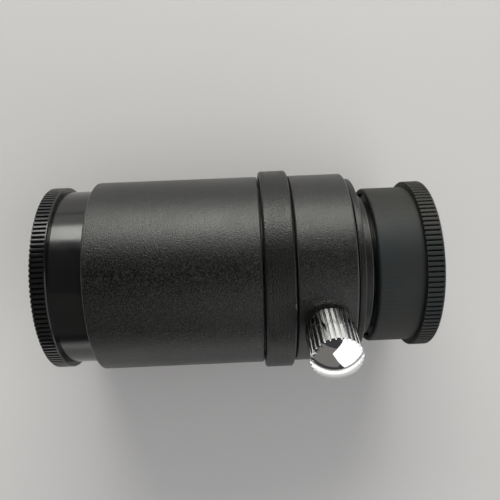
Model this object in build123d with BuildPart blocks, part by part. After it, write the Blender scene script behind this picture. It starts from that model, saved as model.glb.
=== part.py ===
from build123d import *
from math import cos, pi, radians, sin, sqrt
import os

os.makedirs("parts", exist_ok=True)

# Adapter between a microscope's photo tube and a camera with a C-mount.
# All sizes are in millimetres. The optical axis is the X axis, and +X points to the camera.
# The origin is the centre of the seat that the camera's mount face rests on, and +Z is up
# when the adapter lies on its side.

# Clearances
running_clearance = 0.04
thread_clearance = 0.02
face_clearance = 0.05
edge_chamfer = 0.2
flange_edge = 0.12

# How far a cut runs past the face that it opens
cut_overrun = 1.0

# C-mount ring
thread_radius = 12.7
thread_length = 4.0
thread_lead_in = 0.35
thread_wall = 1.7
shoulder_step = 0.75
shoulder_length = 3.1
flange_step = 1.0
flange_width = 0.75
spigot_wall = 1.4
spigot_length = 7.2
spigot_end_gap = 1.52

# Draw tube
bearing_wall = 1.56
tube_wall = 1.1
tube_travel = 6.0
tube_end_land = 1.25
tube_flange_width = 1.1
turning_gap = 0.12

# Set screws that hold the C-mount ring in the draw tube
ring_screw_count = 3
ring_screw_radius = 0.8
ring_screw_key_radius = 0.4
ring_screw_key_depth = 0.6
ring_screw_inset = 3.0
ring_screw_first_angle = 30.0
ring_groove_depth = 0.45

# Clamp collar and lock ring
collar_step = 0.05
collar_length = 9.9
skirt_wall = 1.46
skirt_engagement = 5.15
flange_gap = 0.15
lock_ring_step = 0.95
lock_ring_width = 5.0
lock_ring_gap = 0.35
barrel_gap = 0.3

# Barrel
barrel_wall = 1.45
socket_radius = 15.05
socket_length = 12.0
stop_height = 1.53
stop_width = 4.6
plug_bore_step = 1.0
socket_screw_radius = 1.5
socket_screw_key_radius = 0.75
socket_screw_key_depth = 1.2
socket_screw_sink = 0.1

# Lens cell and lenses
cell_wall = 2.0
cell_lock_wall = 1.38
cell_lock_width = 1.0
cell_lock_side_gap = 0.62
cell_lock_front_gap = 0.55
cell_lock_slot_depth = 0.5
cell_thread_run_out = 0.3
cell_nose_step = 0.7
cell_nose_gap = 0.1
cell_rim = 0.1
cell_lip = 1.0
lens_ledge = 1.1
front_curve_radius = 150.0
cement_curve_radius = 38.0
back_curve_radius = 45.0
flint_edge = 2.8
crown_edge = 1.0
spacer_length = 1.7
spacer_wall = 0.9
rear_flint_edge = 2.4
rear_crown_edge = 0.9
rear_cement_curve_radius = 40.0
rear_curve_radius = 60.0
retaining_ring_width = 1.2
spanner_slot_width = 1.2
spanner_slot_depth = 0.7

# Thumbscrew and its pad
thumbscrew_tilt = 58.5
knob_radius = 4.05
knob_length = 7.6
knob_dome_height = 1.4
knob_base_chamfer = 0.3
knob_neck_step = 0.9
knob_neck_length = 1.0
flute_count = 30
flute_width = 0.53
flute_depth = 0.19
screw_radius = 2.0
screw_tip_chamfer = 0.3
pad_thickness = 1.0
keyway_depth = 0.4

# Camera end cap
camera_cap_wall = 1.01
camera_cap_stand_off = 1.83
camera_cap_skirt = 7.9
camera_cap_lip_radius = 0.5
camera_cap_rim_step = 1.0
camera_cap_rim_width = 2.9
camera_cap_floor = 1.6
camera_cap_grooves = 110

# Microscope end cap
plug_cap_wall = 1.4
plug_cap_insertion = 5.5
plug_cap_end_gap = 0.5
plug_cap_skirt = 5.8
plug_cap_lip_chamfer = 0.25
plug_cap_rim_step = 0.8
plug_cap_rim_width = 2.7
plug_cap_floor = 1.6
plug_cap_grooves = 124

# Grooved rims of both caps
rim_groove_depth = 0.35
rim_groove_share = 0.58
rim_smooth_width = 0.35
rim_edge = 0.15
end_recess_depth = 0.4
end_land_width = 2.2

# Radii of the camera side, each from the fit or wall inside it, out to the barrel's front thread
ring_bore_radius = thread_radius - thread_wall
shoulder_radius = thread_radius + shoulder_step
spigot_radius = ring_bore_radius + spigot_wall
bearing_radius = spigot_radius + running_clearance
tube_radius = bearing_radius + bearing_wall
tube_bore_radius = tube_radius - tube_wall
guide_radius = tube_radius + running_clearance
skirt_radius = guide_radius + skirt_wall
thread_bore_radius = skirt_radius + thread_clearance

# Outside radii: the wider of the barrel's two end bores sets them all
plug_bore_radius = socket_radius + plug_bore_step
barrel_radius = max(plug_bore_radius, thread_bore_radius) + barrel_wall
collar_radius = barrel_radius - collar_step
lock_ring_radius = barrel_radius + lock_ring_step
flange_radius = collar_radius - flange_step

# Radii of the lens cell, which is put in through the front thread and also leaves a stop
# for the photo tube
cell_seat_radius = min(
    thread_bore_radius - cell_lock_side_gap - cell_lock_wall,
    socket_radius - stop_height,
)
cell_radius = cell_seat_radius - thread_clearance
cell_lock_radius = cell_seat_radius + cell_lock_wall
cell_nose_radius = min(tube_bore_radius - cell_nose_gap, cell_radius - cell_nose_step)
lens_radius = cell_radius - cell_wall
cell_bore_radius = lens_radius + thread_clearance
aperture_radius = lens_radius - lens_ledge

# Radii of the caps
camera_cap_bore = shoulder_radius + running_clearance
camera_cap_radius = camera_cap_bore + camera_cap_wall
camera_cap_rim_radius = camera_cap_radius + camera_cap_rim_step
plug_cap_radius = plug_bore_radius - running_clearance
plug_cap_rim_radius = plug_bore_radius + plug_cap_rim_step

# Heights and radii along the thumbscrew, measured from the optical axis
pad_radius = screw_radius - thread_clearance
keyway_floor = tube_radius - keyway_depth
pad_bottom = keyway_floor + face_clearance
knob_neck_radius = screw_radius + knob_neck_step
knob_base = collar_radius + knob_neck_length
knob_top = knob_base + knob_length

# Stations along the optical axis, from the camera seat at 0 down to the microscope end
flange_front = -shoulder_length
flange_back = flange_front - flange_width
tube_flange_front = flange_back - turning_gap
tube_flange_back = tube_flange_front - tube_flange_width
collar_front = tube_flange_back - flange_gap
collar_back = collar_front - collar_length
lock_ring_front = collar_back - lock_ring_gap
lock_ring_back = lock_ring_front - lock_ring_width
barrel_front = lock_ring_back - barrel_gap
skirt_back = barrel_front - skirt_engagement
cell_shoulder = skirt_back - cell_lock_front_gap - cell_lock_width
socket_end = cell_shoulder - stop_width
socket_mouth = socket_end - socket_length
barrel_back = socket_mouth - plug_cap_insertion - plug_cap_end_gap
spigot_back = flange_back - spigot_length
bearing_back = spigot_back - spigot_end_gap
clamp_x = (collar_front + collar_back) / 2
keyway_right = clamp_x + screw_radius + face_clearance
keyway_left = clamp_x - screw_radius - face_clearance - tube_travel
tube_back = keyway_left - tube_end_land

# Directions across the axis: the thumbscrew leans out of the collar, up and to the front
tilt = radians(thumbscrew_tilt)
clamp_direction = (0, -cos(tilt), sin(tilt))
clamp_axis = Axis((clamp_x, 0, 0), clamp_direction)
clamp_plane = Plane(origin=(clamp_x, 0, 0), x_dir=(1, 0, 0), z_dir=clamp_direction)
clamp_section = Plane(origin=(clamp_x, 0, 0), x_dir=(1, 0, 0), z_dir=(0, -sin(tilt), -cos(tilt)))


def sagitta(curve_radius, aperture):
    """Height of a spherical surface over its edge."""
    return curve_radius - sqrt(curve_radius**2 - aperture**2)


def seat_rise(curve_radius, seat_radius):
    """How far a lens's curved face rises from its edge to the circle that a seat touches."""
    return sagitta(curve_radius, lens_radius) - sagitta(curve_radius, seat_radius)


def outer_edges(part):
    """The circles at a turned part's largest radius."""
    return part.edges().filter_by(GeomType.CIRCLE).group_by(SortBy.RADIUS)[-1]


# Barrel: turned tube with a plug bore, the photo tube's socket, the lens cell's thread
# and the collar's thread
with BuildPart() as barrel:
    with BuildSketch(Plane.XZ):
        with BuildLine():
            Polyline(
                (barrel_back, plug_bore_radius),
                (barrel_back, barrel_radius),
                (barrel_front, barrel_radius),
                (barrel_front, thread_bore_radius),
                (cell_shoulder, thread_bore_radius),
                (cell_shoulder, cell_seat_radius),
                (socket_end, cell_seat_radius),
                (socket_end, socket_radius),
                (socket_mouth, socket_radius),
                (socket_mouth, plug_bore_radius),
                close=True,
            )
        make_face()
    revolve(axis=Axis.X)
    chamfer(outer_edges(barrel), edge_chamfer)
    socket_middle = (socket_mouth + socket_end) / 2
    with BuildSketch(Plane.XY):
        with Locations((socket_middle, 0)):
            Circle(socket_screw_radius + thread_clearance)
    extrude(amount=-barrel_radius - cut_overrun, mode=Mode.SUBTRACT)
barrel.part.label = "barrel"

# Set screw in the underside of the barrel, flush with the outside, that clamps the photo tube
socket_screw_bottom = -barrel_radius + socket_screw_sink
socket_screw_length = barrel_radius - socket_radius - 2 * socket_screw_sink
with BuildPart() as socket_set_screw:
    with BuildSketch(Plane.XY.offset(socket_screw_bottom)):
        with Locations((socket_middle, 0)):
            Circle(socket_screw_radius)
    extrude(amount=socket_screw_length)
    with BuildSketch(Plane.XY.offset(socket_screw_bottom)):
        with Locations((socket_middle, 0)):
            RegularPolygon(socket_screw_key_radius, 6, major_radius=False)
    extrude(amount=socket_screw_key_depth, mode=Mode.SUBTRACT)
socket_set_screw.part.label = "socket_set_screw"

# Lock ring: threaded on the collar's skirt, between collar and barrel
with BuildPart() as lock_ring:
    with BuildSketch(Plane.YZ.offset(lock_ring_back)):
        Circle(lock_ring_radius)
        Circle(skirt_radius + running_clearance, mode=Mode.SUBTRACT)
    extrude(amount=lock_ring_width)
    chamfer(outer_edges(lock_ring), edge_chamfer)
lock_ring.part.label = "lock_ring"

# Clamp collar: guide for the draw tube, with a threaded skirt that screws into the barrel
with BuildPart() as clamp_collar:
    with BuildSketch(Plane.XZ):
        with BuildLine():
            Polyline(
                (skirt_back, guide_radius),
                (skirt_back, skirt_radius),
                (collar_back, skirt_radius),
                (collar_back, collar_radius),
                (collar_front, collar_radius),
                (collar_front, guide_radius),
                close=True,
            )
        make_face()
    revolve(axis=Axis.X)
    chamfer(outer_edges(clamp_collar), edge_chamfer)
    with BuildSketch(clamp_plane):
        Circle(screw_radius + thread_clearance)
    extrude(amount=collar_radius + cut_overrun, mode=Mode.SUBTRACT)
clamp_collar.part.label = "clamp_collar"

# Draw tube: slides in the collar, with a flange that stops on it and a keyway for the pad,
# which also limits the travel
keyway_middle = (keyway_left + keyway_right) / 2
ring_screw_x = tube_flange_back - ring_screw_inset
ring_screw_planes = []
for index in range(ring_screw_count):
    turn = radians(ring_screw_first_angle + 360 * index / ring_screw_count)
    outward = (0, cos(turn), sin(turn))
    ring_screw_planes.append(Plane(origin=(ring_screw_x, 0, 0), x_dir=(1, 0, 0), z_dir=outward))
with BuildPart() as draw_tube:
    with BuildSketch(Plane.XZ):
        with BuildLine():
            Polyline(
                (tube_back, tube_bore_radius),
                (tube_back, tube_radius),
                (tube_flange_back, tube_radius),
                (tube_flange_back, flange_radius),
                (tube_flange_front, flange_radius),
                (tube_flange_front, bearing_radius),
                (bearing_back, bearing_radius),
                (bearing_back, tube_bore_radius),
                close=True,
            )
        make_face()
    revolve(axis=Axis.X)
    chamfer(outer_edges(draw_tube), flange_edge)
    with BuildSketch(clamp_plane.offset(keyway_floor)):
        with Locations((keyway_middle - clamp_x, 0)):
            SlotOverall(keyway_right - keyway_left, 2 * (screw_radius + face_clearance))
    extrude(amount=tube_radius, mode=Mode.SUBTRACT)
    for screw_plane in ring_screw_planes:
        with BuildSketch(screw_plane):
            Circle(ring_screw_radius + thread_clearance)
        extrude(amount=tube_radius + cut_overrun, mode=Mode.SUBTRACT)
draw_tube.part.label = "draw_tube"

# Three set screws in the draw tube, whose tips run in the groove of the C-mount ring
ring_screw_tip = spigot_radius - ring_groove_depth + face_clearance
ring_screw_head = tube_radius - face_clearance
with BuildPart() as ring_set_screws:
    for screw_plane in ring_screw_planes:
        with BuildSketch(screw_plane.offset(ring_screw_tip)):
            Circle(ring_screw_radius)
        extrude(amount=ring_screw_head - ring_screw_tip)
        with BuildSketch(screw_plane.offset(ring_screw_head)):
            RegularPolygon(ring_screw_key_radius, 6, major_radius=False)
        extrude(amount=-ring_screw_key_depth, mode=Mode.SUBTRACT)
ring_set_screws.part.label = "ring_set_screws"

# C-mount ring: flange, plain shoulder, male thread, and a spigot that turns in the draw tube
screw_groove_back = ring_screw_x - ring_screw_radius - face_clearance
screw_groove_front = ring_screw_x + ring_screw_radius + face_clearance
with BuildPart() as c_mount_ring:
    with BuildSketch(Plane.XZ):
        with BuildLine():
            Polyline(
                (spigot_back, ring_bore_radius),
                (spigot_back, spigot_radius),
                (screw_groove_back, spigot_radius),
                (screw_groove_back, spigot_radius - ring_groove_depth),
                (screw_groove_front, spigot_radius - ring_groove_depth),
                (screw_groove_front, spigot_radius),
                (flange_back, spigot_radius),
                (flange_back, flange_radius),
                (flange_front, flange_radius),
                (flange_front, shoulder_radius),
                (0, shoulder_radius),
                (0, thread_radius),
                (thread_length - thread_lead_in, thread_radius),
                (thread_length, thread_radius - thread_lead_in),
                (thread_length, ring_bore_radius),
                close=True,
            )
        make_face()
    revolve(axis=Axis.X)
    chamfer(outer_edges(c_mount_ring), flange_edge)
c_mount_ring.part.label = "c_mount_ring"

# Lens stations, from the cell's lip towards the camera: each curved face seats on an inner edge
cell_back = socket_end
spacer_bore_radius = lens_radius - spacer_wall
flint_back = cell_back + cell_lip + seat_rise(front_curve_radius, aperture_radius)
cement_edge = flint_back + flint_edge
crown_front = cement_edge + crown_edge
spacer_back = crown_front + seat_rise(back_curve_radius, spacer_bore_radius)
rear_flint_back = spacer_back + spacer_length
rear_cement_edge = rear_flint_back + rear_flint_edge
rear_crown_front = rear_cement_edge + rear_crown_edge
retaining_ring_back = rear_crown_front + seat_rise(rear_curve_radius, aperture_radius)
retaining_ring_front = retaining_ring_back + retaining_ring_width
front_sagitta = sagitta(front_curve_radius, lens_radius)
cement_sagitta = sagitta(cement_curve_radius, lens_radius)
back_sagitta = sagitta(back_curve_radius, lens_radius)
rear_cement_sagitta = sagitta(rear_cement_curve_radius, lens_radius)
rear_sagitta = sagitta(rear_curve_radius, lens_radius)

# Lens cell: threaded into the barrel's middle, with a plain nose round the lenses
cell_lock_front = cell_shoulder + cell_lock_width
cell_thread_end = cell_lock_front + cell_thread_run_out
cell_nose = retaining_ring_front + cell_rim
with BuildPart() as lens_cell:
    with BuildSketch(Plane.XZ):
        with BuildLine():
            Polyline(
                (cell_back, aperture_radius),
                (cell_back, cell_radius),
                (cell_thread_end, cell_radius),
                (cell_thread_end, cell_nose_radius),
                (cell_nose, cell_nose_radius),
                (cell_nose, cell_bore_radius),
                (cell_back + cell_lip, cell_bore_radius),
                (cell_back + cell_lip, aperture_radius),
                close=True,
            )
        make_face()
    revolve(axis=Axis.X)
lens_cell.part.label = "lens_cell"

# Ring that locks the lens cell against the barrel's shoulder, with two slots for a spanner
with BuildPart() as cell_lock_ring:
    with BuildSketch(Plane.YZ.offset(cell_shoulder)):
        Circle(cell_lock_radius)
        Circle(cell_seat_radius, mode=Mode.SUBTRACT)
    extrude(amount=cell_lock_width)
    with BuildSketch(Plane.YZ.offset(cell_lock_front)):
        Rectangle(2 * (cell_lock_radius + cut_overrun), spanner_slot_width)
    extrude(amount=-cell_lock_slot_depth, mode=Mode.SUBTRACT)
cell_lock_ring.part.label = "cell_lock_ring"

# Flint element of the front pair, next to the microscope
with BuildPart() as front_flint:
    with BuildSketch(Plane.XZ):
        with BuildLine():
            Line((flint_back - front_sagitta, 0), (cement_edge - cement_sagitta, 0))
            RadiusArc((cement_edge - cement_sagitta, 0), (cement_edge, lens_radius), cement_curve_radius)
            Line((cement_edge, lens_radius), (flint_back, lens_radius))
            RadiusArc((flint_back, lens_radius), (flint_back - front_sagitta, 0), -front_curve_radius)
        make_face()
    revolve(axis=Axis.X)
front_flint.part.label = "front_flint"

# Crown element of the front pair, cemented to the flint
with BuildPart() as front_crown:
    with BuildSketch(Plane.XZ):
        with BuildLine():
            Line((cement_edge - cement_sagitta, 0), (crown_front + back_sagitta, 0))
            RadiusArc((crown_front + back_sagitta, 0), (crown_front, lens_radius), -back_curve_radius)
            Line((crown_front, lens_radius), (cement_edge, lens_radius))
            RadiusArc((cement_edge, lens_radius), (cement_edge - cement_sagitta, 0), -cement_curve_radius)
        make_face()
    revolve(axis=Axis.X)
front_crown.part.label = "front_crown"

# Spacer between the two cemented pairs
with BuildPart() as lens_spacer:
    with BuildSketch(Plane.YZ.offset(spacer_back)):
        Circle(lens_radius)
        Circle(spacer_bore_radius, mode=Mode.SUBTRACT)
    extrude(amount=spacer_length)
lens_spacer.part.label = "lens_spacer"

# Flint element of the rear pair, flat side to the microscope
rear_cement_top = (rear_cement_edge, lens_radius)
rear_cement_vertex = (rear_cement_edge - rear_cement_sagitta, 0)
with BuildPart() as rear_flint:
    with BuildSketch(Plane.XZ):
        with BuildLine():
            Polyline(
                rear_cement_top,
                (rear_flint_back, lens_radius),
                (rear_flint_back, 0),
                rear_cement_vertex,
            )
            RadiusArc(rear_cement_vertex, rear_cement_top, rear_cement_curve_radius)
        make_face()
    revolve(axis=Axis.X)
rear_flint.part.label = "rear_flint"

# Crown element of the rear pair, cemented to the flint
rear_crown_vertex = (rear_crown_front + rear_sagitta, 0)
with BuildPart() as rear_crown:
    with BuildSketch(Plane.XZ):
        with BuildLine():
            Line(rear_cement_vertex, rear_crown_vertex)
            RadiusArc(rear_crown_vertex, (rear_crown_front, lens_radius), -rear_curve_radius)
            Line((rear_crown_front, lens_radius), rear_cement_top)
            RadiusArc(rear_cement_top, rear_cement_vertex, -rear_cement_curve_radius)
        make_face()
    revolve(axis=Axis.X)
rear_crown.part.label = "rear_crown"

# Threaded ring that holds the lenses, with two slots for a spanner
with BuildPart() as lens_retaining_ring:
    with BuildSketch(Plane.YZ.offset(retaining_ring_back)):
        Circle(lens_radius)
        Circle(aperture_radius, mode=Mode.SUBTRACT)
    extrude(amount=retaining_ring_width)
    with BuildSketch(Plane.YZ.offset(retaining_ring_front)):
        Rectangle(2 * (lens_radius + cut_overrun), spanner_slot_width)
    extrude(amount=-spanner_slot_depth, mode=Mode.SUBTRACT)
lens_retaining_ring.part.label = "lens_retaining_ring"

# Clamp pad: soft disc under the screw's tip, in the draw tube's keyway
with BuildPart() as clamp_pad:
    with BuildSketch(clamp_plane.offset(pad_bottom)):
        Circle(pad_radius)
    extrude(amount=pad_thickness)
clamp_pad.part.label = "clamp_pad"

# Thumbscrew: turned in one piece with a domed head, neck and threaded shank, then fluted
screw_tip = pad_bottom + pad_thickness + face_clearance
dome_curve_radius = (knob_radius**2 + knob_dome_height**2) / (2 * knob_dome_height)
with BuildPart() as thumbscrew:
    with BuildSketch(clamp_section):
        with BuildLine():
            Polyline(
                (0, knob_top + knob_dome_height),
                (0, screw_tip),
                (screw_radius - screw_tip_chamfer, screw_tip),
                (screw_radius, screw_tip + screw_tip_chamfer),
                (screw_radius, collar_radius + face_clearance),
                (knob_neck_radius, collar_radius + face_clearance),
                (knob_neck_radius, knob_base),
                (knob_radius - knob_base_chamfer, knob_base),
                (knob_radius, knob_base + knob_base_chamfer),
                (knob_radius, knob_top),
            )
            RadiusArc((knob_radius, knob_top), (0, knob_top + knob_dome_height), -dome_curve_radius)
        make_face()
    revolve(axis=clamp_axis)
    with BuildSketch(clamp_plane.offset(knob_base)):
        with PolarLocations(knob_radius, flute_count):
            Polygon(
                (-flute_depth, 0),
                (flute_depth, -flute_width),
                (flute_depth, flute_width),
                align=None,
            )
    extrude(amount=knob_length + knob_dome_height, mode=Mode.SUBTRACT)
thumbscrew.part.label = "thumbscrew"

# Camera end cap: moulded cup that pushes over the shoulder behind the thread
camera_cap_mouth = flange_front + camera_cap_stand_off
camera_rim_back = camera_cap_mouth + camera_cap_skirt
camera_cap_end = camera_rim_back + camera_cap_rim_width
camera_groove_width = rim_groove_share * 2 * pi * camera_cap_rim_radius / camera_cap_grooves
camera_lip_face = (camera_cap_mouth, camera_cap_radius - camera_cap_lip_radius)
camera_lip_top = (camera_cap_mouth + camera_cap_lip_radius, camera_cap_radius)
with BuildPart() as camera_end_cap:
    with BuildSketch(Plane.XZ):
        with BuildLine():
            Polyline(
                camera_lip_top,
                (camera_rim_back, camera_cap_radius),
                (camera_rim_back, camera_cap_rim_radius),
                (camera_cap_end - rim_edge, camera_cap_rim_radius),
                (camera_cap_end, camera_cap_rim_radius - rim_edge),
                (camera_cap_end, camera_cap_rim_radius - end_land_width),
                (camera_cap_end - end_recess_depth, camera_cap_rim_radius - end_land_width),
                (camera_cap_end - end_recess_depth, 0),
                (camera_cap_end - camera_cap_floor, 0),
                (camera_cap_end - camera_cap_floor, camera_cap_bore),
                (camera_cap_mouth, camera_cap_bore),
                camera_lip_face,
            )
            RadiusArc(camera_lip_face, camera_lip_top, camera_cap_lip_radius)
        make_face()
    revolve(axis=Axis.X)
    with BuildSketch(Plane.YZ.offset(camera_rim_back)):
        with PolarLocations(camera_cap_rim_radius, camera_cap_grooves):
            Rectangle(2 * rim_groove_depth, camera_groove_width)
    extrude(amount=camera_cap_rim_width - rim_smooth_width, mode=Mode.SUBTRACT)
camera_end_cap.part.label = "camera_end_cap"

# Microscope end cap: moulded plug whose skirt pushes into the barrel
plug_cap_mouth = barrel_back + plug_cap_insertion
plug_rim_front = barrel_back - plug_cap_skirt
plug_cap_end = plug_rim_front - plug_cap_rim_width
plug_groove_width = rim_groove_share * 2 * pi * plug_cap_rim_radius / plug_cap_grooves
with BuildPart() as microscope_end_cap:
    with BuildSketch(Plane.XZ):
        with BuildLine():
            Polyline(
                (plug_cap_end + plug_cap_floor, 0),
                (plug_cap_end + plug_cap_floor, plug_cap_radius - plug_cap_wall),
                (plug_cap_mouth, plug_cap_radius - plug_cap_wall),
                (plug_cap_mouth, plug_cap_radius - plug_cap_lip_chamfer),
                (plug_cap_mouth - plug_cap_lip_chamfer, plug_cap_radius),
                (plug_rim_front, plug_cap_radius),
                (plug_rim_front, plug_cap_rim_radius - rim_edge),
                (plug_rim_front - rim_edge, plug_cap_rim_radius),
                (plug_cap_end, plug_cap_rim_radius),
                (plug_cap_end, plug_cap_rim_radius - end_land_width),
                (plug_cap_end + end_recess_depth, plug_cap_rim_radius - end_land_width),
                (plug_cap_end + end_recess_depth, 0),
                close=True,
            )
        make_face()
    revolve(axis=Axis.X)
    with BuildSketch(Plane.YZ.offset(plug_rim_front - rim_smooth_width)):
        with PolarLocations(plug_cap_rim_radius, plug_cap_grooves):
            Rectangle(2 * rim_groove_depth, plug_groove_width)
    extrude(amount=rim_smooth_width - plug_cap_rim_width, mode=Mode.SUBTRACT)
microscope_end_cap.part.label = "microscope_end_cap"

pieces = [
    barrel,
    socket_set_screw,
    lock_ring,
    clamp_collar,
    draw_tube,
    ring_set_screws,
    c_mount_ring,
    lens_cell,
    cell_lock_ring,
    front_flint,
    front_crown,
    lens_spacer,
    rear_flint,
    rear_crown,
    lens_retaining_ring,
    clamp_pad,
    thumbscrew,
    camera_end_cap,
    microscope_end_cap,
]
for piece in pieces:
    export_step(piece.part, f"parts/{piece.part.label}.step")
    print(piece.part.label, "volume", round(piece.part.volume, 1))
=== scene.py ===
import math

import bpy
from mathutils import Matrix, Vector


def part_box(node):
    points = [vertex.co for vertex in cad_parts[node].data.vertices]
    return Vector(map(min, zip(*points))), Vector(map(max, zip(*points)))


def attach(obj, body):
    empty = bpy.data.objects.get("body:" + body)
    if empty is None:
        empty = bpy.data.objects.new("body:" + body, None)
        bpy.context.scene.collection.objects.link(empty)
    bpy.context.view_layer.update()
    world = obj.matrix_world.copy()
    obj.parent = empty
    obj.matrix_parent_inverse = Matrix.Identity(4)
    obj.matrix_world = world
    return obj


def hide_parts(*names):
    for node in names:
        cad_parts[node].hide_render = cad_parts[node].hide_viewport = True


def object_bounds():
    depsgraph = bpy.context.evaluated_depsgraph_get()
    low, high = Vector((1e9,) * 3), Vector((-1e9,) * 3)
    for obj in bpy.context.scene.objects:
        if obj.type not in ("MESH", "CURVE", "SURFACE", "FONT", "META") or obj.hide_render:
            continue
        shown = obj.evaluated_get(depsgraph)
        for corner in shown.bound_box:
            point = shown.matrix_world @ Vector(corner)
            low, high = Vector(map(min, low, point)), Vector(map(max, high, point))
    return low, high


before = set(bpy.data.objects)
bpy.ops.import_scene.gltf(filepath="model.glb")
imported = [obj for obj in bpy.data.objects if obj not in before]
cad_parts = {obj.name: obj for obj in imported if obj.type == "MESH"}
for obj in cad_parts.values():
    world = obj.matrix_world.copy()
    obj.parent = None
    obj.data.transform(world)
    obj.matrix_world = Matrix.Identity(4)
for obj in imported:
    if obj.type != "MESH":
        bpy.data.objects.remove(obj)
cad_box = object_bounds()

# The camera hangs over the adapter, which lies on its side, and looks almost straight down.
# Its place and turn were fitted to the circles of the photograph, in the adapter's own frame.
camera_place = Vector((-0.0239, 0.0029, 0.10695))
camera_roll = math.radians(2.411)
camera_pitch = math.radians(-0.410)
camera_yaw = math.radians(0.757)
camera_lens = 40.12
camera_sensor = 36.0
nearest_in_view = 0.005
camera_data = bpy.data.cameras.new("camera")
camera_data.lens = camera_lens
camera_data.sensor_width = camera_sensor
camera_data.clip_start = nearest_in_view
camera = bpy.data.objects.new("camera", camera_data)
bpy.context.scene.collection.objects.link(camera)
world_to_camera = (
    Matrix.Rotation(camera_roll, 3, "Z")
    @ Matrix.Rotation(camera_pitch, 3, "X")
    @ Matrix.Rotation(camera_yaw, 3, "Y")
)
camera.matrix_world = Matrix.Translation(camera_place) @ world_to_camera.transposed().to_4x4()
bpy.context.scene.camera = camera
bpy.context.scene.view_settings.view_transform = "Standard"

# The floor is a plain pale sheet. The adapter lies on its lock ring, the widest turned piece.
floor_size = 4.0
floor_height = cad_box[0][2]
floor_colour = (0.57, 0.56, 0.555, 1.0)
floor_roughness = 0.9
floor_specular = 0.2
bpy.ops.object.select_all(action="DESELECT")
bpy.ops.mesh.primitive_plane_add(size=floor_size, location=(0, 0, floor_height))
floor = bpy.context.object
floor.name = "floor"
floor_paint = bpy.data.materials.new("floor_paint")
floor_paint.use_nodes = True
floor_shader = floor_paint.node_tree.nodes["Principled BSDF"]
floor_shader.inputs["Base Color"].default_value = floor_colour
floor_shader.inputs["Roughness"].default_value = floor_roughness
floor_shader.inputs["Specular IOR Level"].default_value = floor_specular
floor.data.materials.append(floor_paint)

# Soft studio light. A bright softbox on the far side draws the band along the tube, between a wide
# low card and a dim high one. A broad softbox stands on the near right, two dimmer cards stand on
# the left, and a weak fill hangs overhead.
light_distance = 0.9
far_spread = math.radians(100)


def softbox(name, azimuth, elevation, width, height, radiance, colour):
    """A rectangular light that faces the adapter; azimuth is counted from +X towards +Y."""
    data = bpy.data.lights.new(name, "AREA")
    data.shape = "RECTANGLE"
    data.size = width
    data.size_y = height
    data.energy = radiance * math.pi * width * height
    data.color = colour
    light = bpy.data.objects.new(name, data)
    bpy.context.scene.collection.objects.link(light)
    azimuth, elevation = math.radians(azimuth), math.radians(elevation)
    outward = Vector((
        math.cos(azimuth) * math.cos(elevation),
        math.sin(azimuth) * math.cos(elevation),
        math.sin(elevation),
    ))
    middle = Vector(((cad_box[0][0] + cad_box[1][0]) / 2, 0, 0))
    light.location = middle + light_distance * outward
    light.rotation_euler = outward.to_track_quat("Z", "Y").to_euler()
    return light


far = softbox("far_softbox", 90, 30, 0.8, 0.34, radiance=3.05, colour=(1.0, 1.0, 0.94))
far.data.spread = far_spread
softbox("far_card", 90, 8, 1.6, 0.26, radiance=1.1, colour=(1.0, 1.0, 0.98))
softbox("upper_card", 90, 46, 0.9, 0.2, radiance=0.35, colour=(0.9, 0.95, 1.0))
softbox("near_softbox", -36, 36, 1.46, 1.2, radiance=1.1, colour=(1.0, 1.0, 1.0))
softbox("left_card", -107, 38, 0.95, 0.95, radiance=0.13, colour=(1.0, 0.93, 0.85))
softbox("low_left_card", -160, 14, 0.7, 0.36, radiance=0.6, colour=(1.0, 0.99, 0.96))
fill = softbox("top_fill", 90, 85, 1.6, 1.6, radiance=0.5, colour=(0.97, 0.98, 1.0))
fill.visible_glossy = False

# Two lamps hang close over the floor, out of the picture. The screw mirrors the bright patches
# that they make on the floor.
wash_width = 0.4
wash_depth = 0.18
wash_x = -0.01
wash_height = 0.07
wash_spread = math.radians(80)
for name, side, radiance in (("far_wash", 0.19, 0.4), ("near_wash", -0.21, 1.7)):
    wash = softbox(name, 0, 0, wash_width, wash_depth, radiance, (1.0, 1.0, 1.0))
    wash.location = (wash_x, side, wash_height)
    wash.rotation_euler = (0, 0, 0)
    wash.data.spread = wash_spread
    wash.visible_glossy = False
studio_colour = (0.52, 0.54, 0.56, 1.0)
studio_strength = 0.08
studio = bpy.data.worlds.new("studio")
studio.use_nodes = True
studio.node_tree.nodes["Background"].inputs["Color"].default_value = studio_colour
studio.node_tree.nodes["Background"].inputs["Strength"].default_value = studio_strength
bpy.context.scene.world = studio

# Barrel: the tube that slips over the microscope's photo tube. It is turned from aluminium bar,
# bored from both ends, blasted with fine grit and anodised black, which leaves a matte grain.
mm = 0.001
circle_steps = 256
hole_steps = 64
weld_distance = 0.001 * mm
smooth_limit = math.radians(40)
plug_bore_radius = 16.05 * mm
plug_bore_depth = 6.0 * mm
socket_radius = 15.05 * mm
socket_length = 12.0 * mm
stop_width = 4.6 * mm
cell_seat_radius = 13.52 * mm
front_bore_radius = 15.52 * mm
set_screw_hole_radius = 1.52 * mm
drill_overrun = 1.0 * mm
barrel_edge = 0.2 * mm
corner_break = 0.06 * mm


def span(node):
    """A turned CAD node's back and front stations on the optical axis, and its outer radius."""
    low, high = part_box(node)
    return low.x, high.x, (high.y - low.y) / 2


def chamfered(back, front, radius, edge):
    """Outline of a cylinder between two stations, with a chamfer at either end."""
    return [
        (back, radius - edge),
        (back + edge, radius),
        (front - edge, radius),
        (front, radius - edge),
    ]


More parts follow.
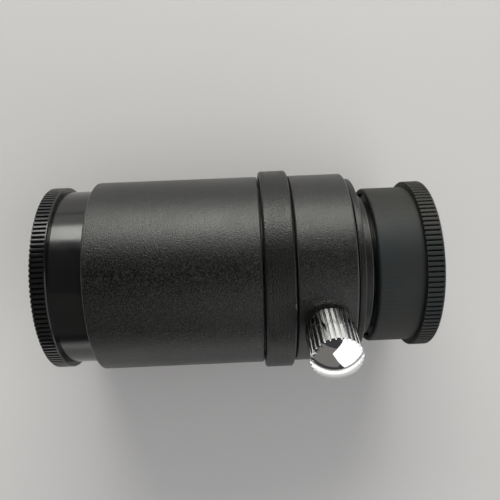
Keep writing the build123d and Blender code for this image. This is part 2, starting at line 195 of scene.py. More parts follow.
def turn(name, outline):
    """Turns a piece about the X axis: a point is drawn out along the outline of (station, radius)
    pairs, and the line is spun round."""
    points = [Vector((station, 0, radius)) for station, radius in outline]
    bpy.ops.object.select_all(action="DESELECT")
    bpy.ops.mesh.primitive_plane_add(size=mm, location=points[0])
    piece = bpy.context.object
    piece.name = name
    piece.data.name = name
    bpy.ops.object.mode_set(mode="EDIT")
    bpy.ops.mesh.select_all(action="SELECT")
    bpy.ops.mesh.merge(type="CENTER")
    for here, there in zip(points, points[1:]):
        bpy.ops.mesh.extrude_vertices_move(TRANSFORM_OT_translate={"value": there - here})
    bpy.ops.mesh.select_all(action="SELECT")
    bpy.ops.mesh.remove_doubles(threshold=weld_distance)
    bpy.ops.mesh.select_all(action="SELECT")
    bpy.ops.mesh.spin(steps=circle_steps, angle=math.tau, center=(0, 0, 0), axis=(1, 0, 0))
    close_up(piece)
    return piece


def close_up(piece):
    """Welds the seam and the poles, turns every face outwards and leaves edit mode."""
    bpy.ops.mesh.select_all(action="SELECT")
    bpy.ops.mesh.remove_doubles(threshold=weld_distance)
    bpy.ops.mesh.select_all(action="SELECT")
    bpy.ops.mesh.normals_make_consistent(inside=False)
    bpy.ops.object.mode_set(mode="OBJECT")
    bpy.ops.object.transform_apply(location=True, rotation=True, scale=True)


def bevel(piece, width):
    """Breaks every sharp edge, as a tool or a mould does."""
    bpy.context.view_layer.objects.active = piece
    modifier = piece.modifiers.new("edges", "BEVEL")
    modifier.width = width
    modifier.segments = 2
    modifier.limit_method = "ANGLE"
    modifier.angle_limit = math.radians(30)
    modifier.use_clamp_overlap = True
    bpy.ops.object.modifier_apply(modifier=modifier.name)


def drill(piece, radius, foot, tip):
    """Cuts a round hole from one point to another."""
    foot, tip = Vector(foot), Vector(tip)
    way = tip - foot
    bpy.ops.object.select_all(action="DESELECT")
    bpy.ops.mesh.primitive_cylinder_add(
        vertices=hole_steps,
        radius=radius,
        depth=way.length,
        location=(foot + tip) / 2,
        rotation=way.to_track_quat("Z", "Y").to_euler(),
    )
    cut_away(piece, bpy.context.object)


def cut_away(piece, cutter):
    """Takes the cutter's shape out of the piece."""
    modifier = piece.modifiers.new("cut", "BOOLEAN")
    modifier.operation = "DIFFERENCE"
    modifier.solver = "EXACT"
    modifier.object = cutter
    bpy.context.view_layer.objects.active = piece
    bpy.ops.object.modifier_apply(modifier=modifier.name)
    bpy.data.objects.remove(cutter)


def smooth(piece):
    """Shades the curved faces smooth and keeps the flat ones flat."""
    bpy.ops.object.select_all(action="DESELECT")
    piece.select_set(True)
    bpy.context.view_layer.objects.active = piece
    bpy.ops.object.shade_smooth_by_angle(angle=smooth_limit)
    modifier = piece.modifiers.new("flat_faces", "WEIGHTED_NORMAL")
    modifier.keep_sharp = True
    bpy.ops.object.modifier_apply(modifier=modifier.name)


def dress(piece, finish, body, slot, *nodes):
    """Gives a piece its finish and its body, and hides the CAD nodes it stands for. The slot is not
    used.
    """
    piece.data.materials.append(finish)
    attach(piece, body)
    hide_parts(*nodes)


def trim_edges(piece, finish, outer_radius, width, start=-math.inf):
    """Gives the chamfers at a turned piece's outer edges, past a start station, another finish: a
    lighter one that stands for wear and paints a highlight line along the edges.
    """
    least_slope = 0.3
    most_slope = 0.95
    piece.data.materials.append(finish)
    for face in piece.data.polygons:
        radius = math.hypot(face.center.y, face.center.z)
        sloping = least_slope < abs(face.normal.x) < most_slope
        if sloping and radius > outer_radius - width and face.center.x > start:
            face.material_index = 1


def shader_input(finish, socket):
    """A socket of the finish's shader."""
    return finish.node_tree.nodes["Principled BSDF"].inputs[socket]


def new_finish(name, colour, roughness, metallic=0.0):
    """A material with its shader's own values set."""
    finish = bpy.data.materials.new(name)
    finish.use_nodes = True
    shader_input(finish, "Base Color").default_value = (*colour, 1.0)
    shader_input(finish, "Roughness").default_value = roughness
    shader_input(finish, "Metallic").default_value = metallic
    return finish


def grain(finish, size, stretch=(1, 1, 1), detail=2.0):
    """Noise with grains of about the given size, drawn out by a factor along each axis."""
    nodes, links = finish.node_tree.nodes, finish.node_tree.links
    place = nodes.new("ShaderNodeTexCoord")
    mapping = nodes.new("ShaderNodeMapping")
    mapping.inputs["Scale"].default_value = [1 / factor for factor in stretch]
    noise = nodes.new("ShaderNodeTexNoise")
    noise.inputs["Scale"].default_value = 1 / size
    noise.inputs["Detail"].default_value = detail
    links.new(place.outputs["Object"], mapping.inputs["Vector"])
    links.new(mapping.outputs["Vector"], noise.inputs["Vector"])
    return noise.outputs["Fac"]


def vary_roughness(finish, source, low, high):
    """Spreads the source's middle values over a range of roughness."""
    nodes, links = finish.node_tree.nodes, finish.node_tree.links
    spread = nodes.new("ShaderNodeMapRange")
    spread.inputs["From Min"].default_value = 0.35
    spread.inputs["From Max"].default_value = 0.65
    spread.inputs["To Min"].default_value = low
    spread.inputs["To Max"].default_value = high
    links.new(source, spread.inputs["Value"])
    links.new(spread.outputs["Result"], shader_input(finish, "Roughness"))


def tint(finish, source, dark, light, start=0.35, end=0.65):
    """Colours the finish between two colours, by the source's middle values."""
    nodes, links = finish.node_tree.nodes, finish.node_tree.links
    ramp = nodes.new("ShaderNodeValToRGB")
    ramp.color_ramp.elements[0].position = start
    ramp.color_ramp.elements[0].color = (*dark, 1.0)
    ramp.color_ramp.elements[1].position = end
    ramp.color_ramp.elements[1].color = (*light, 1.0)
    links.new(source, ramp.inputs["Fac"])
    links.new(ramp.outputs["Color"], shader_input(finish, "Base Color"))


def roughen(finish, source, depth):
    """Lays bump, its depth in metres, over any that the finish has already."""
    nodes, links = finish.node_tree.nodes, finish.node_tree.links
    normal = shader_input(finish, "Normal")
    bump = nodes.new("ShaderNodeBump")
    bump.inputs["Distance"].default_value = depth
    links.new(source, bump.inputs["Height"])
    if normal.is_linked:
        links.new(normal.links[0].from_socket, bump.inputs["Normal"])
    links.new(bump.outputs["Normal"], normal)


blasted = new_finish("blasted_black_anodise", colour=(0.006, 0.006, 0.006), roughness=0.32)
tint(
    blasted,
    grain(blasted, size=0.22 * mm, detail=1.0),
    dark=(0.0003, 0.0003, 0.0003),
    light=(0.02, 0.02, 0.018),
    start=0.45,
    end=0.65,
)
vary_roughness(blasted, grain(blasted, size=6 * mm), low=0.29, high=0.34)
roughen(blasted, grain(blasted, size=0.19 * mm), depth=0.07 * mm)
# The chamfers get a lighter, more metallic finish than the blasted faces: edge wear, and a painted
# highlight line along every chamfer.
anodise_wear_and_painted_highlight = new_finish("anodise_edge_wear_and_painted_highlight", colour=(0.09, 0.09, 0.087), roughness=0.3, metallic=0.6)
roughen(anodise_wear_and_painted_highlight, grain(anodise_wear_and_painted_highlight, size=0.2 * mm), depth=0.01 * mm)

barrel_back, barrel_front, barrel_radius = span("barrel")
socket_mouth = barrel_back + plug_bore_depth
socket_end = socket_mouth + socket_length
cell_shoulder = socket_end + stop_width
barrel = turn("barrel_body", [
    (barrel_back, plug_bore_radius),
    *chamfered(barrel_back, barrel_front, barrel_radius, barrel_edge),
    (barrel_front, front_bore_radius),
    (cell_shoulder, front_bore_radius),
    (cell_shoulder, cell_seat_radius),
    (socket_end, cell_seat_radius),
    (socket_end, socket_radius),
    (socket_mouth, socket_radius),
    (socket_mouth, plug_bore_radius),
    (barrel_back, plug_bore_radius),
])
bevel(barrel, corner_break)
socket_middle = (socket_mouth + socket_end) / 2
drill(
    barrel,
    set_screw_hole_radius,
    (socket_middle, 0, -socket_radius + drill_overrun),
    (socket_middle, 0, -barrel_radius - drill_overrun),
)
smooth(barrel)
dress(barrel, blasted, "housing", "anodised_matte", "barrel")
# Painted highlight: the barrel's chamfers get the lighter edge finish.
trim_edges(barrel, anodise_wear_and_painted_highlight, barrel_radius, barrel_edge)

# Set screw under the barrel: a short blackened steel screw with a hexagon socket, which clamps
# the microscope's photo tube. The CAD node has the right shape and gets its finish here.
black_steel = new_finish("blackened_steel", (0.03, 0.03, 0.032), roughness=0.35, metallic=0.8)
roughen(black_steel, grain(black_steel, size=0.3 * mm), depth=0.01 * mm)


def refinish(node, finish):
    """Puts a finish in every material slot of a CAD node."""
    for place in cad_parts[node].material_slots:
        place.material = finish


refinish("socket_set_screw", black_steel)

# Lens cell: a turned ring, anodised dull black and screwed into the barrel's middle. It holds the
# two cemented pairs of the reduction lens against a lip, and fine tool lines run round it.
cell_thread_radius = 13.5 * mm
cell_thread_length = 1.3 * mm
cell_nose_radius = 12.8 * mm
cell_bore_radius = 11.52 * mm
cell_lip = 1.0 * mm
cell_break = 0.12 * mm
aperture_radius = 10.4 * mm
cell_thread_end = cell_shoulder + cell_thread_length
inner_anodise = new_finish("dull_black_anodise", colour=(0.012, 0.012, 0.013), roughness=0.55)
cell_lines = grain(inner_anodise, size=0.2 * mm, stretch=(1, 60, 60))
vary_roughness(inner_anodise, cell_lines, low=0.45, high=0.65)
roughen(inner_anodise, cell_lines, depth=0.03 * mm)
cell_back, cell_front, _ = span("lens_cell")
lens_cell = turn("lens_cell_body", [
    (cell_back, aperture_radius),
    (cell_back, cell_thread_radius),
    (cell_thread_end, cell_thread_radius),
    (cell_thread_end, cell_nose_radius),
    (cell_front, cell_nose_radius),
    (cell_front, cell_bore_radius),
    (cell_back + cell_lip, cell_bore_radius),
    (cell_back + cell_lip, aperture_radius),
    (cell_back, aperture_radius),
])
bevel(lens_cell, cell_break)
smooth(lens_cell)
dress(lens_cell, inner_anodise, "housing", "anodised_inner", "lens_cell")

# Lock ring of the cell and lens spacer: plain turned aluminium rings hidden inside. They keep
# their CAD shape and get the same dull black anodise.
for node in ("cell_lock_ring", "lens_spacer"):
    refinish(node, inner_anodise)

# Lenses: two cemented pairs of crown and flint glass, ground and polished to spheres, with a
# thin coating that turns the reflections violet.
lens_radius = 11.5 * mm
cement_gap = 0.02 * mm
arc_steps = 12
front_curve = 150.0 * mm
cement_curve = 38.0 * mm
back_curve = 45.0 * mm
rear_cement_curve = 40.0 * mm
rear_curve = 60.0 * mm
lens_glass = new_finish("coated_glass", colour=(0.93, 0.97, 0.95), roughness=0.02)
shader_input(lens_glass, "Transmission Weight").default_value = 1.0
shader_input(lens_glass, "IOR").default_value = 1.55
shader_input(lens_glass, "Specular Tint").default_value = (0.55, 0.35, 0.95, 1.0)
vary_roughness(lens_glass, grain(lens_glass, size=0.5 * mm), low=0.0, high=0.03)


def sagitta(curve_radius):
    """Height of a lens's ground face over its edge."""
    return curve_radius - math.sqrt(curve_radius**2 - lens_radius**2)


def dome(edge, curve_radius, outward):
    """Points of a ground face from its edge to the axis; outward is -1, 0 or 1 along the axis."""
    points = []
    for step in range(arc_steps + 1):
        height = lens_radius * (1 - step / arc_steps)
        rise = math.sqrt(curve_radius**2 - height**2) - math.sqrt(curve_radius**2 - lens_radius**2)
        points.append((edge + outward * rise, height))
    return points


def lens(name, node, back, front):
    """A lens from its two faces, each as (edge station, curve radius, way it bulges)."""
    piece = turn(name, dome(*back)[::-1] + dome(*front))
    smooth(piece)
    dress(piece, lens_glass, "housing", "lens_glass", node)


flint_edge_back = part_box("front_flint")[0].x + sagitta(front_curve)
cement_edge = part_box("front_crown")[0].x + sagitta(cement_curve)
crown_edge_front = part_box("front_crown")[1].x - sagitta(back_curve)
lens("front_flint_glass", "front_flint",
     (flint_edge_back, front_curve, -1), (cement_edge - cement_gap, cement_curve, -1))
lens("front_crown_glass", "front_crown",
     (cement_edge, cement_curve, -1), (crown_edge_front, back_curve, 1))
rear_flint_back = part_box("rear_flint")[0].x
rear_cement_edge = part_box("rear_crown")[0].x + sagitta(rear_cement_curve)
rear_edge_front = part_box("rear_crown")[1].x - sagitta(rear_curve)
lens("rear_flint_glass", "rear_flint",
     (rear_flint_back, rear_curve, 0), (rear_cement_edge - cement_gap, rear_cement_curve, -1))
lens("rear_crown_glass", "rear_crown",
     (rear_cement_edge, rear_cement_curve, -1), (rear_edge_front, rear_curve, 1))

# Retaining ring: a thin aluminium ring, screwed in to hold the lenses in the cell. Two slots
# across its front face take a pin spanner.
spanner_slot_width = 1.2 * mm
spanner_slot_depth = 0.7 * mm
retaining_break = 0.1 * mm
ring_back, ring_front, ring_outer = span("lens_retaining_ring")
retaining_ring = turn("retaining_ring_body", [
    (ring_back, aperture_radius),
    (ring_back, ring_outer),
    (ring_front, ring_outer),
    (ring_front, aperture_radius),
    (ring_back, aperture_radius),
])
bevel(retaining_ring, retaining_break)
bpy.ops.object.select_all(action="DESELECT")
bpy.ops.mesh.primitive_cube_add(size=1, location=(ring_front, 0, 0))
slot_cutter = bpy.context.object
slot_cutter.scale = (2 * spanner_slot_depth, 3 * ring_outer, spanner_slot_width)
cut_away(retaining_ring, slot_cutter)
smooth(retaining_ring)
dress(retaining_ring, inner_anodise, "housing", "anodised_inner", "lens_retaining_ring")

# Clamp collar: carries the thumbscrew and guides the draw tube. Turned, blasted and anodised
# like the barrel, with a threaded skirt that screws into the barrel's front.
guide_radius = 14.04 * mm
skirt_radius = 15.5 * mm
skirt_length = 10.8 * mm
screw_hole_radius = 2.02 * mm
thumbscrew_tilt = math.radians(58.5)
clamp_direction = Vector((0, -math.cos(thumbscrew_tilt), math.sin(thumbscrew_tilt)))
skirt_back, collar_front, collar_radius = span("clamp_collar")
collar_back = skirt_back + skirt_length
clamp_middle = Vector(((collar_front + collar_back) / 2, 0, 0))
screw_hole_foot = 0.5 * collar_radius
screw_hole_tip = 1.2 * collar_radius
collar = turn("clamp_collar_body", [
    (skirt_back, guide_radius),
    (skirt_back, skirt_radius),
    (collar_back, skirt_radius),
    *chamfered(collar_back, collar_front, collar_radius, barrel_edge),
    (collar_front, guide_radius),
    (skirt_back, guide_radius),
])
bevel(collar, corner_break)
drill(
    collar,
    screw_hole_radius,
    clamp_middle + screw_hole_foot * clamp_direction,
    clamp_middle + screw_hole_tip * clamp_direction,
)
smooth(collar)
dress(collar, blasted, "housing", "anodised_matte", "clamp_collar")
# Painted highlight: the collar's chamfers get the lighter edge finish.
trim_edges(collar, anodise_wear_and_painted_highlight, collar_radius, barrel_edge)

# Lock ring: threaded on the collar's skirt and screwed against the collar. It is turned, not
# blasted, so fine tool lines run round it under the black anodise.
lock_ring_bore = 15.54 * mm
lock_ring_edge = 0.25 * mm
turned = new_finish("turned_black_anodise", colour=(0.005, 0.005, 0.005), roughness=0.34)
tool_lines = grain(turned, size=0.22 * mm, stretch=(1, 120, 120), detail=1.0)
dashes = grain(turned, size=0.17 * mm, stretch=(1, 2, 2), detail=1.5)
tint(turned, dashes, dark=(0.0003, 0.0003, 0.0003), light=(0.009, 0.009, 0.008))
vary_roughness(turned, tool_lines, low=0.33, high=0.39)
shader_input(turned, "Specular IOR Level").default_value = 0.4
roughen(turned, tool_lines, depth=0.03 * mm)
roughen(turned, dashes, depth=0.075 * mm)
lock_back, lock_front, lock_radius = span("lock_ring")
lock_ring = turn("lock_ring_body", [
    (lock_back, lock_ring_bore),
    *chamfered(lock_back, lock_front, lock_radius, lock_ring_edge),
    (lock_front, lock_ring_bore),
    (lock_back, lock_ring_bore),
])
bevel(lock_ring, corner_break)
smooth(lock_ring)
dress(lock_ring, turned, "lock_ring", "anodised_turned", "lock_ring")

# Draw tube: slides in the collar to set the camera's focus. A turned tube with a narrow flange,
# a milled keyway for the clamp screw's pad and three tapped holes for the ring's set screws.
tube_radius = 14.0 * mm
tube_bore_radius = 12.9 * mm
bearing_radius = 12.44 * mm
bearing_back = -12.57 * mm
flange_gap = 0.37 * mm
flange_width = 1.1 * mm
flange_edge = 0.12 * mm
flange_break = 0.03 * mm
keyway_length = 10.1 * mm
keyway_half_width = 2.05 * mm
keyway_depth = 0.4 * mm
ring_screw_radius = 0.82 * mm
ring_screw_angles = (30, 150, 270)
ring_hole_foot = 0.8 * tube_radius
ring_hole_tip = 1.05 * tube_radius
tube_back, _, flange_radius = span("draw_tube")
flange_back = collar_front + flange_gap
flange_front = flange_back + flange_width
draw_tube = turn("draw_tube_body", [
    (tube_back, tube_bore_radius),
    (tube_back, tube_radius),
    (flange_back, tube_radius),
    *chamfered(flange_back, flange_front, flange_radius, flange_edge),
    (flange_front, bearing_radius),
    (bearing_back, bearing_radius),
    (bearing_back, tube_bore_radius),
    (tube_back, tube_bore_radius),
])
bevel(draw_tube, flange_break)
keyway_start = clamp_middle.x - keyway_length + 2 * keyway_half_width
bpy.ops.object.select_all(action="DESELECT")
bpy.ops.mesh.primitive_cylinder_add(
    vertices=hole_steps,
    radius=keyway_half_width,
    depth=4 * keyway_depth,
    location=Vector((keyway_start, 0, 0)) + (tube_radius + keyway_depth) * clamp_direction,
    rotation=clamp_direction.to_track_quat("Z", "Y").to_euler(),
)
keyway_cutter = bpy.context.object
bpy.ops.object.transform_apply(location=True, rotation=True, scale=True)
for vertex in keyway_cutter.data.vertices:
    if vertex.co.x > keyway_start:
        vertex.co.x += keyway_length - 2 * keyway_half_width
cut_away(draw_tube, keyway_cutter)
ring_screw_x = sum(corner.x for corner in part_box("ring_set_screws")) / 2
ring_screw_middle = Vector((ring_screw_x, 0, 0))
for angle in ring_screw_angles:
    outward = Vector((0, math.cos(math.radians(angle)), math.sin(math.radians(angle))))
    drill(
        draw_tube,
        ring_screw_radius,
        ring_screw_middle + ring_hole_foot * outward,
        ring_screw_middle + ring_hole_tip * outward,
    )
smooth(draw_tube)
dress(draw_tube, turned, "draw_tube", "anodised_turned", "draw_tube")
# Painted highlight: the flange's chamfers get the lighter edge finish.
trim_edges(draw_tube, anodise_wear_and_painted_highlight, flange_radius, flange_edge)

# Three set screws with hexagon sockets hold the C-mount ring in the draw tube and lock its turn.
# They are blackened steel and keep their CAD shape.
refinish("ring_set_screws", black_steel)

# C-mount ring: turned in one piece. A plain shoulder with a rounded front edge stands bare in front
# of the flange. Then come a turned neck, the rim that bears the camera's seat and, behind a narrow
# relief groove, the male thread of 1 inch by 32 turns.
thread_radius = 12.7 * mm
thread_pitch = 25.4 / 32 * mm
thread_depth = 0.45 * mm
thread_end = 3.65 * mm
thread_lead_in = 0.35 * mm
relief_width = 0.35 * mm
relief_radius = 12.25 * mm
first_turn_gap = 0.15 * mm
rows_per_turn = 10
shoulder_gap = 0.12 * mm
shoulder_front = -1.8 * mm
shoulder_radius = 13.25 * mm
neck_radius = 12.0 * mm
seat_back = -0.7 * mm
seat_radius = 13.45 * mm
spigot_radius = 12.4 * mm
spigot_groove_depth = 0.45 * mm
spigot_groove_half_width = 0.85 * mm
ring_bore_radius = 11.0 * mm
spigot_back, mount_front, _ = span("c_mount_ring")
shoulder_back = flange_front + shoulder_gap
groove_back = ring_screw_x - spigot_groove_half_width
groove_front = ring_screw_x + spigot_groove_half_width


def stations(start, end, step):
    """Even stations from start to end, not further apart than the step."""
    count = math.ceil(abs(end - start) / step)
    return [start + (end - start) * index / count for index in range(count + 1)]


def cut_thread(piece, origin, axis, radius, pitch, depth, start, end):
    """Presses a right-hand screw thread into the rings of vertices between two stations. The
    thread has narrow flat crests and roots, and fades out at either end."""
    crest_share = 0.12
    flanks_share = 0.76
    fade_in = 0.4 * pitch
    fade_out = 0.2 * pitch
    radius_error = 0.01 * mm
    origin, axis = Vector(origin), Vector(axis)
    side = axis.orthogonal().normalized()
    up = axis.cross(side)
    for vertex in piece.data.vertices:
        from_origin = vertex.co - origin
        station = from_origin.dot(axis)
        spoke = from_origin - station * axis
        if start <= station <= end and abs(spoke.length - radius) < radius_error:
            angle = math.atan2(spoke.dot(up), spoke.dot(side))
            phase = (station / pitch - angle / math.tau) % 1.0
            drop = min(max((abs(2 * phase - 1) - crest_share) / flanks_share, 0.0), 1.0)
            fade = min(1.0, (station - start) / fade_in, (end - station) / fade_out)
            vertex.co -= spoke.normalized() * depth * drop * max(fade, 0.0)


mount_ring = turn("c_mount_ring_body", [
    (spigot_back, ring_bore_radius),
    (spigot_back, spigot_radius),
    (groove_back, spigot_radius),
    (groove_back, spigot_radius - spigot_groove_depth),
    (groove_front, spigot_radius - spigot_groove_depth),
    (groove_front, spigot_radius),
    (shoulder_back, spigot_radius),
    (shoulder_back, shoulder_radius - flange_edge),
    (shoulder_back + flange_edge, shoulder_radius),
    (shoulder_front - 2 * flange_edge, shoulder_radius),
    (shoulder_front - 0.6 * flange_edge, shoulder_radius - 0.5 * flange_edge),
    (shoulder_front, shoulder_radius - 2 * flange_edge),
    (shoulder_front, neck_radius),
    (seat_back, neck_radius),
    *chamfered(seat_back, 0, seat_radius, flange_edge),
    (0, relief_radius),
    (relief_width, relief_radius),
    *[
        (station, thread_radius)
        for station in stations(
            relief_width + first_turn_gap, thread_end, thread_pitch / rows_per_turn
        )
    ],
    (mount_front, thread_radius - thread_lead_in),
    (mount_front, ring_bore_radius),
    (spigot_back, ring_bore_radius),
])
bevel(mount_ring, flange_break)
cut_thread(
    mount_ring,
    origin=(0, 0, 0),
    axis=(1, 0, 0),
    radius=thread_radius,
    pitch=thread_pitch,
    depth=thread_depth,
    start=relief_width,
    end=thread_end,
)
smooth(mount_ring)
dress(mount_ring, turned, "c_mount_ring", "anodised_turned", "c_mount_ring")
# Painted highlight: the shoulder's chamfers and rounded edge get the lighter edge finish.
trim_edges(mount_ring, anodise_wear_and_painted_highlight, shoulder_radius, flange_edge)

# Clamp pad: a small soft brass disc between the thumbscrew and the draw tube. It is turned bare
# and keeps its CAD shape.
pad_brass = new_finish("turned_brass", colour=(0.6, 0.42, 0.16), roughness=0.3, metallic=1.0)
vary_roughness(pad_brass, grain(pad_brass, size=0.3 * mm), low=0.22, high=0.4)
refinish("clamp_pad", pad_brass)

# Thumbscrew: turned in one piece with a domed head, fluted round for the fingers, polished and
# chrome plated. Its neck stands on the collar and its M4 shank presses the pad.
knob_radius = 4.14 * mm
knob_length = 7.55 * mm
knob_dome = 1.4 * mm
knob_neck_radius = 2.9 * mm
knob_neck_length = 1.0 * mm
knob_base_edge = 0.3 * mm
flute_count = 30
flute_depth = 0.19 * mm
flute_share = 0.36
flute_rounding = 0.04 * mm
flute_end_rows = 4
dome_rows = 8
shank_radius = 2.0 * mm
shank_pitch = 0.7 * mm
shank_thread_depth = 0.4 * mm
shank_rows_per_turn = 8
shank_tip = 14.7 * mm
seat_gap = 0.05 * mm
chrome = new_finish("chrome_plate", colour=(0.93, 0.94, 0.94), roughness=0.05, metallic=1.0)
vary_roughness(chrome, grain(chrome, size=0.4 * mm), low=0.03, high=0.08)
knob_base = collar_radius + knob_neck_length
knob_top = knob_base + knob_length
dome_curve = (knob_radius**2 + knob_dome**2) / (2 * knob_dome)


def dome_height(radius):
    """Height of the head's dome at a radius."""
    return knob_top + knob_dome - dome_curve + math.sqrt(dome_curve**2 - radius**2)


def ribbed(count, radius, groove_share, depth, rounding):
    """One pitch of a grooved rim as (angle, drop) pairs: half a rib with a rounded edge, a groove
    with steep walls and a round floor, and half of the next rib."""
    rounding_steps = 3
    floor_shares = (0.08, 0.25, 0.55, 1.0)
    half_pitch = math.pi * radius / count
    half_groove = groove_share * half_pitch
    rows = [(0.0, 0.0)]
    for step in range(rounding_steps + 1):
        slope = math.pi / 2 * step / rounding_steps
        across = half_pitch - half_groove - rounding * (1 - math.sin(slope))
        rows.append((across / radius, rounding * (1 - math.cos(slope))))
    for share in floor_shares:
        drop = rounding + (depth - rounding) * math.sqrt(1 - (1 - share) ** 2)
        rows.append(((half_pitch - half_groove * (1 - share)) / radius, drop))
    return rows + [(math.tau / count - angle, drop) for angle, drop in rows[-2::-1]]


def grooved(name, outline, rim_points, rim_radius, count, rows):
    """Turns a grooved piece about X, one groove at a time: the outline is spun through one pitch
    in the rows' steps, its rim points are pressed in by each row's drop, and the wedge is copied
    round. rim_points are the outline's places that a groove presses in."""
    mesh = bpy.data.meshes.new(name)
    corners = []
    for angle, drop in rows:
        spun = Matrix.Rotation(angle, 3, "X")
        for index, (station, radius) in enumerate(outline):
            if index in rim_points:
                radius = min(radius, rim_radius - drop)
            corners.append(spun @ Vector((station, 0, radius)))
    wide = len(outline)
    faces = []
    for row in range(len(rows) - 1):
        for here in range(row * wide, (row + 1) * wide - 1):
            faces.append((here, here + 1, here + wide + 1, here + wide))
    mesh.from_pydata(corners, [], faces)
    piece = bpy.data.objects.new(name, mesh)
    bpy.context.scene.collection.objects.link(piece)
    bpy.ops.object.select_all(action="DESELECT")
    piece.select_set(True)
    bpy.context.view_layer.objects.active = piece
    bpy.ops.object.mode_set(mode="EDIT")
    bpy.ops.mesh.select_all(action="SELECT")
    bpy.ops.mesh.spin(
        steps=count - 1,
        angle=math.tau - math.tau / count,
        dupli=True,
        center=(0, 0, 0),
        axis=(1, 0, 0),
    )
    close_up(piece)
    return piece


shank_thread_start = shank_tip + knob_base_edge
shank_thread_end = collar_radius - seat_gap
shank_step = shank_pitch / shank_rows_per_turn
shank_stations = stations(shank_thread_start, shank_thread_end, shank_step)
dome_radii = [knob_radius - flute_depth * row / flute_end_rows for row in range(flute_end_rows + 1)]
dome_radii += [dome_radii[-1] * (1 - row / dome_rows) for row in range(1, dome_rows + 1)]
knob_outline = [
    (shank_tip, 0),
    (shank_tip, shank_radius - knob_base_edge),
    *[(height, shank_radius) for height in shank_stations],
    (collar_radius + seat_gap, shank_radius),
    (collar_radius + seat_gap, knob_neck_radius),
    (knob_base, knob_neck_radius),
    (knob_base, knob_radius - knob_base_edge),
    (knob_base + knob_base_edge, knob_radius),
    *[(dome_height(radius), radius) for radius in dome_radii],
]
first_flute_point = knob_outline.index((knob_base + knob_base_edge, knob_radius))
flute_points = range(first_flute_point, first_flute_point + flute_end_rows + 2)
flutes = ribbed(flute_count, knob_radius, flute_share, flute_depth, flute_rounding)
knob = grooved("thumbscrew_body", knob_outline, flute_points, knob_radius, flute_count, flutes)
knob.location = clamp_middle
knob.rotation_euler = clamp_direction.to_track_quat("X", "Z").to_euler()
bpy.ops.object.transform_apply(location=True, rotation=True, scale=True)
cut_thread(
    knob,
    origin=clamp_middle,
    axis=clamp_direction,
    radius=shank_radius,
    pitch=shank_pitch,
    depth=shank_thread_depth,
    start=shank_thread_start,
    end=shank_thread_end,
)
smooth(knob)
dress(knob, chrome, "thumbscrew", "screw_chrome", "thumbscrew")

# Camera end cap: a moulded cup in satin black plastic that is pushed over the rim of the camera's
# seat. Its mouth is rounded, and its rim has 110 grooves, open towards the sleeve, for the
# fingers. The edges of the rim and of the sleeve's end are a lighter grey: wear, and a painted
# highlight line along them.
camera_cap_bore = 13.49 * mm
camera_cap_sleeve = 14.5 * mm
camera_cap_lip = 0.5 * mm
camera_lip_steps = 5
sleeve_end_depth = 0.13 * mm
sleeve_end_width = 0.32 * mm
sleeve_end_flat = 0.65 * sleeve_end_width
camera_rim_width = 2.9 * mm
camera_cap_floor = 1.6 * mm
camera_cap_grooves = 110
camera_groove_share = 0.34
rim_groove_depth = 0.5 * mm
grooved_points = 3
rim_smooth_width = 0.3 * mm
rim_rounding = 0.06 * mm
rim_edge = 0.15 * mm
small_edge = 0.1 * mm
groove_slope = 0.06 * mm
end_recess_depth = 0.4 * mm
end_land_width = 2.2 * mm
satin = new_finish("satin_black_plastic", colour=(0.012, 0.013, 0.013), roughness=0.6)
scuffs = grain(satin, size=0.4 * mm, stretch=(8, 1, 1), detail=4.0)
cloud = grain(satin, size=9 * mm)
tint(satin, cloud, dark=(0.009, 0.0125, 0.0135), light=(0.0145, 0.014, 0.011))
vary_roughness(satin, scuffs, low=0.57, high=0.61)
shader_input(satin, "Specular IOR Level").default_value = 0.4
roughen(satin, scuffs, depth=0.005 * mm)
# A lighter grey plastic for the edges of the rim and of the sleeve's end: wear, and a painted
# highlight line along them.
plastic_wear_and_painted_highlight = new_finish("black_plastic_wear_and_painted_highlight", colour=(0.05, 0.052, 0.05), roughness=0.4)
vary_roughness(plastic_wear_and_painted_highlight, grain(plastic_wear_and_painted_highlight, size=0.5 * mm), low=0.35, high=0.5)
cap_mouth, cap_end, cap_rim_radius = span("camera_end_cap")
rim_back = cap_end - camera_rim_width
sleeve_end = rim_back - sleeve_end_width
groove_end = cap_end - rim_smooth_width
lip_points = []
for step in range(camera_lip_steps, -1, -1):
    lip_angle = math.pi / 2 * step / camera_lip_steps
    lip_points.append((
        cap_mouth + camera_cap_lip * (1 - math.sin(lip_angle)),
        camera_cap_sleeve - camera_cap_lip * (1 - math.cos(lip_angle)),
    ))
camera_outline = [
    (cap_end - camera_cap_floor, 0),
    (cap_end - camera_cap_floor, camera_cap_bore),
    (cap_mouth + small_edge, camera_cap_bore),
    (cap_mouth, camera_cap_bore + small_edge),
    *lip_points,
    (sleeve_end, camera_cap_sleeve),
    (rim_back - sleeve_end_flat, camera_cap_sleeve - sleeve_end_depth),
    (rim_back, camera_cap_sleeve - sleeve_end_depth),
    (rim_back, cap_rim_radius - small_edge),
    (rim_back + small_edge, cap_rim_radius),
    (groove_end - groove_slope, cap_rim_radius),
    (groove_end, cap_rim_radius),
    (cap_end - rim_edge, cap_rim_radius),
    (cap_end, cap_rim_radius - rim_edge),
    (cap_end, cap_rim_radius - end_land_width),
    (cap_end - end_recess_depth, cap_rim_radius - end_land_width),
    (cap_end - end_recess_depth, 0),
]
first_rim_point = camera_outline.index((rim_back, cap_rim_radius - small_edge))
camera_cap = grooved(
    "camera_cap_body",
    camera_outline,
    range(first_rim_point, first_rim_point + grooved_points),
    cap_rim_radius,
    camera_cap_grooves,
    ribbed(camera_cap_grooves, cap_rim_radius, camera_groove_share, rim_groove_depth, rim_rounding),
)
smooth(camera_cap)
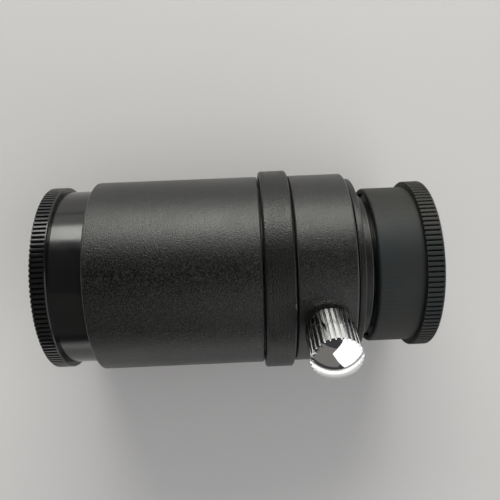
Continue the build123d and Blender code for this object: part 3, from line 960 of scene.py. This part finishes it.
dress(camera_cap, satin, "camera_end_cap", "cap_satin", "camera_end_cap")
# Painted highlight: the edges of the rim and of the sleeve's end get the lighter grey finish.
trim_edges(camera_cap, plastic_wear_and_painted_highlight, camera_cap_sleeve, sleeve_end_depth, start=sleeve_end)

# Microscope end cap: a moulded plug in gloss black plastic whose sleeve pushes into the barrel.
# Its rim has 124 grooves, open towards the outer end.
plug_wall = 1.4 * mm
plug_sleeve = 16.01 * mm
plug_rim_width = 2.7 * mm
plug_floor = 1.6 * mm
plug_grooves = 124
plug_groove_share = 0.4
plug_lip = 0.25 * mm
gloss = new_finish("gloss_black_plastic", colour=(0.006, 0.006, 0.006), roughness=0.08)
vary_roughness(gloss, grain(gloss, size=2 * mm, detail=4.0), low=0.14, high=0.2)
roughen(gloss, grain(gloss, size=5 * mm), depth=0.02 * mm)
plug_end, plug_mouth, plug_rim_radius = span("microscope_end_cap")
plug_rim_front = plug_end + plug_rim_width
plug_groove_end = plug_rim_front - rim_smooth_width
plug_outline = [
    (plug_end + plug_floor, 0),
    (plug_end + plug_floor, plug_sleeve - plug_wall),
    (plug_mouth, plug_sleeve - plug_wall),
    (plug_mouth, plug_sleeve - plug_lip),
    (plug_mouth - plug_lip, plug_sleeve),
    (plug_rim_front, plug_sleeve),
    (plug_rim_front, plug_rim_radius - rim_edge),
    (plug_rim_front - rim_edge, plug_rim_radius),
    (plug_groove_end, plug_rim_radius),
    (plug_groove_end - groove_slope, plug_rim_radius),
    (plug_end + small_edge, plug_rim_radius),
    (plug_end, plug_rim_radius - small_edge),
    (plug_end, plug_rim_radius - end_land_width),
    (plug_end + end_recess_depth, plug_rim_radius - end_land_width),
    (plug_end + end_recess_depth, 0),
]
first_plug_point = plug_outline.index((plug_groove_end - groove_slope, plug_rim_radius))
plug_cap = grooved(
    "microscope_cap_body",
    plug_outline,
    range(first_plug_point, first_plug_point + grooved_points),
    plug_rim_radius,
    plug_grooves,
    ribbed(plug_grooves, plug_rim_radius, plug_groove_share, rim_groove_depth, rim_rounding),
)
smooth(plug_cap)
dress(plug_cap, gloss, "microscope_end_cap", "cap_gloss", "microscope_end_cap")
